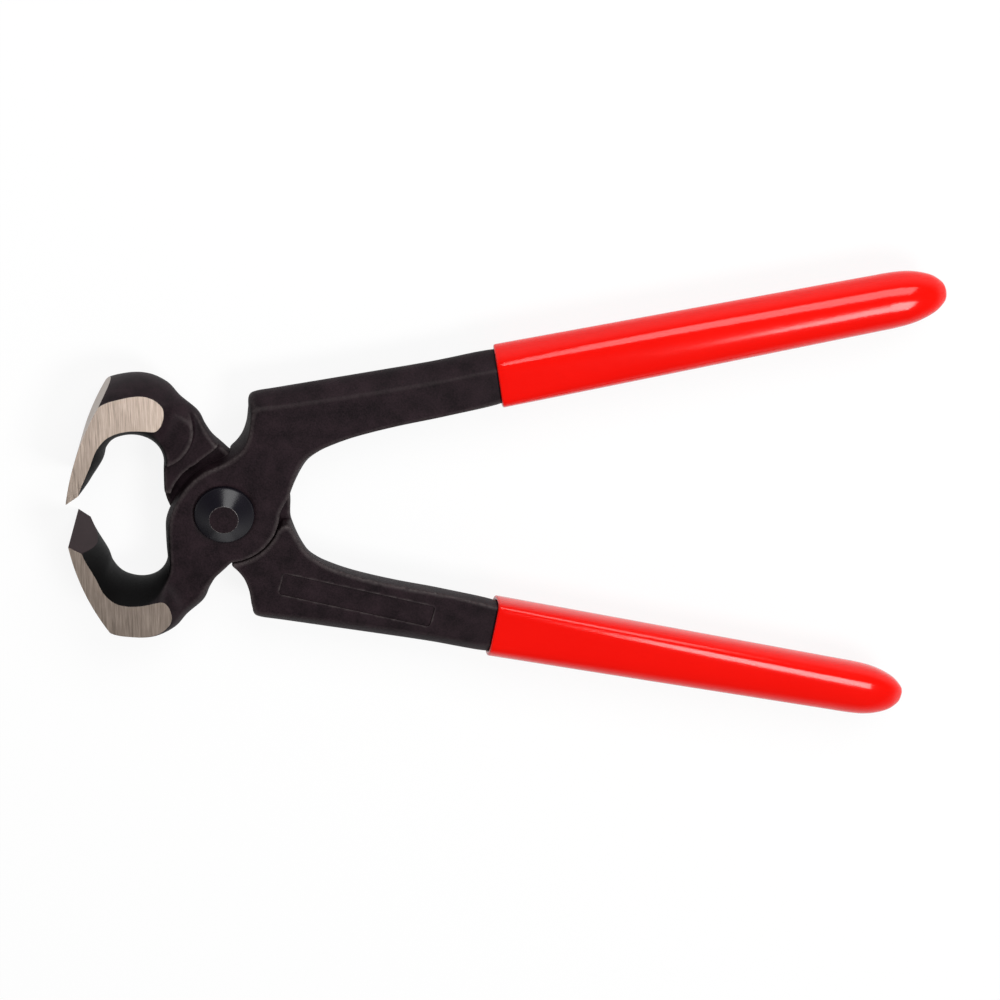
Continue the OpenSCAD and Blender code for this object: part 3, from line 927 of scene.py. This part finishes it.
def rivet_steel(grain, edge_wear_and_glint):
    """Blue-black satin steel of the set heads, rubbed round the flat."""
    finish, tree, shader = new_finish("rivet_steel")
    set_shader(shader, Specular_IOR_Level=0.26)
    forging = add_node(tree, "ShaderNodeGroup", node_tree=grain)
    limits = {"From": 0.02, "To": 0.05, "Breaking up": 1.0}
    wear = add_node(tree, "ShaderNodeGroup", limits, node_tree=edge_wear_and_glint)
    scale = mixed_colour(tree, forging.outputs["Patches"], BLUED_DARK, BLUED_LIGHT)
    rubbed = mixed_colour(tree, wear.outputs["Wear"], scale, BLUED_RUBBED)
    tree.links.new(rubbed, shader.inputs["Base Color"])
    roughen(tree, shader, forging.outputs["Pits"], RIVET_ROUGHNESS)
    emboss(tree, shader, forging.outputs["Pits"], strength=0.12, depth=0.00004)
    return finish


def red_vinyl(grain):
    """Glossy dipped vinyl with a faint waviness."""
    finish, tree, shader = new_finish("red_vinyl")
    set_shader(shader, Specular_IOR_Level=0.25)
    scales = {"Pits per metre": 900, "Patches per metre": 60}
    dip = add_node(tree, "ShaderNodeGroup", scales, node_tree=grain)
    red = mixed_colour(tree, dip.outputs["Patches"], VINYL_DEEP, VINYL_BRIGHT)
    tree.links.new(red, shader.inputs["Base Color"])
    roughen(tree, shader, dip.outputs["Pits"], VINYL_ROUGHNESS)
    emboss(tree, shader, dip.outputs["Pits"], strength=0.05, depth=0.0001)
    return finish


def make_world():
    """A soft even light, white to the camera, with a darker ceiling in reflections."""
    world = bpy.data.worlds.new("studio")
    bpy.context.scene.world = world
    world.use_nodes = True
    tree = world.node_tree
    tree.nodes.clear()
    path = add_node(tree, "ShaderNodeLightPath")
    direction = add_node(tree, "ShaderNodeTexCoord").outputs["Generated"]
    rise = add_node(tree, "ShaderNodeSeparateXYZ", {"Vector": direction}).outputs["Z"]
    ceiling = ranged(tree, rise, *CEILING_RISES, HORIZON_LIGHT, CEILING_LIGHT)
    shown = largest(tree, path.outputs["Is Camera Ray"], ceiling)
    soft = add_node(tree, "ShaderNodeBackground", {"Color": WHITE, "Strength": SOFT_LIGHT})
    white = add_node(tree, "ShaderNodeBackground", {"Color": WHITE, "Strength": shown})
    looked_at = largest(tree, *(path.outputs[kind] for kind in SEEING_RAYS))
    mix = add_node(tree, "ShaderNodeMixShader", {0: looked_at, 1: soft.outputs[0], 2: white.outputs[0]})
    output = add_node(tree, "ShaderNodeOutputWorld")
    tree.links.new(mix.outputs[0], output.inputs["Surface"])


def make_floor():
    """White paper under the tool, which keeps a faint shadow."""
    level = cad_box[0].z / MILLIMETRE - FLOOR_DROP
    low, high = -FLOOR_REACH, FLOOR_REACH
    outline = [(low, low), (high, low), (high, high), (low, high)]
    floor = mesh_piece("floor", [(*corner, level) for corner in outline], [(0, 1, 2, 3)])
    floor.data.transform(Matrix.Scale(MILLIMETRE, 4))
    paper, tree, shader = new_finish("white_paper")
    set_shader(shader, Base_Color=PAPER, Roughness=0.9, Specular_IOR_Level=0.1)
    path = add_node(tree, "ShaderNodeLightPath")
    shares = [worked_out(tree, "MULTIPLY", path.outputs[kind], share)
              for kind, share in zip(SEEING_RAYS, FLOOR_WHITENESS)]
    seen = largest(tree, *shares)
    glow = add_node(tree, "ShaderNodeEmission", {"Color": WHITE, "Strength": 1.0})
    mix = add_node(tree, "ShaderNodeMixShader", {0: seen, 1: shader.outputs[0], 2: glow.outputs[0]})
    tree.links.new(mix.outputs[0], tree.nodes["Material Output"].inputs["Surface"])
    floor.data.materials.append(paper)


def add_lamp(name, stand, size, power):
    """A soft rectangular lamp that faces the tool."""
    lamp = bpy.data.lights.new(name, "AREA")
    lamp.shape = "RECTANGLE"
    lamp.size, lamp.size_y = size
    lamp.energy = power
    holder = bpy.data.objects.new(name, lamp)
    bpy.context.scene.collection.objects.link(holder)
    holder.location = stand
    holder.rotation_euler = (Vector(LAMP_AIM) - Vector(stand)).to_track_quat("-Z", "Y").to_euler()


def make_lamps():
    """A soft box over the handles and a broader one on the far side."""
    add_lamp("soft_box", *SOFT_BOX)
    add_lamp("far_lamp", *FAR_LAMP)


def make_camera():
    """The camera of the photograph."""
    right = Vector(CAMERA_RIGHT).normalized()
    back = -Vector(CAMERA_VIEW).normalized()
    up = back.cross(right).normalized()
    right = up.cross(back)
    lens = bpy.data.cameras.new("camera")
    lens.sensor_fit = "HORIZONTAL"
    lens.sensor_width = SENSOR_WIDTH
    lens.lens = FOCAL_LENGTH
    lens.clip_start = NEAREST_SEEN * MILLIMETRE
    camera = bpy.data.objects.new("camera", lens)
    bpy.context.scene.collection.objects.link(camera)
    turn = Matrix((right, up, back)).transposed().to_4x4()
    camera.matrix_world = Matrix.Translation(Vector(CAMERA_PLACE) * MILLIMETRE) @ turn
    bpy.context.scene.camera = camera


def make_nippers():
    """The five pieces, each on its body."""
    grain = forge_grain_group()
    edge_wear_and_glint = edge_wear_and_glint_group(grain)
    steel = [blackened_steel(grain, edge_wear_and_glint), ground_steel(), honed_steel(grain)]
    rivet_finish = [rivet_steel(grain, edge_wear_and_glint), steel[0]]
    vinyl = [red_vinyl(grain)]
    front_turn = Matrix.Rotation(math.radians(OPENING / 2), 4, "Z")
    rear_turn = Matrix.Rotation(math.pi, 4, "X") @ front_turn

    front = lever_piece("front_lever_forging", HUB_RADIUS, WIDE_HUB_RADIUS)
    place(front, front_turn, steel, "front_half", "front_lever")
    rear = lever_piece("rear_lever_forging", WIDE_HUB_RADIUS, HUB_RADIUS)
    place(rear, rear_turn, steel, "rear_half", "rear_lever")
    place(rivet_piece("set_rivet"), Matrix.Identity(4), rivet_finish, "front_half", "pivot_rivet")
    place(grip_piece("front_dipped_grip"), front_turn, vinyl, "front_half", "front_grip")
    place(grip_piece("rear_dipped_grip"), rear_turn, vinyl, "rear_half", "rear_grip")


bpy.context.scene.view_settings.view_transform = "Standard"
make_camera()
make_nippers()
make_world()
make_floor()
make_lamps()
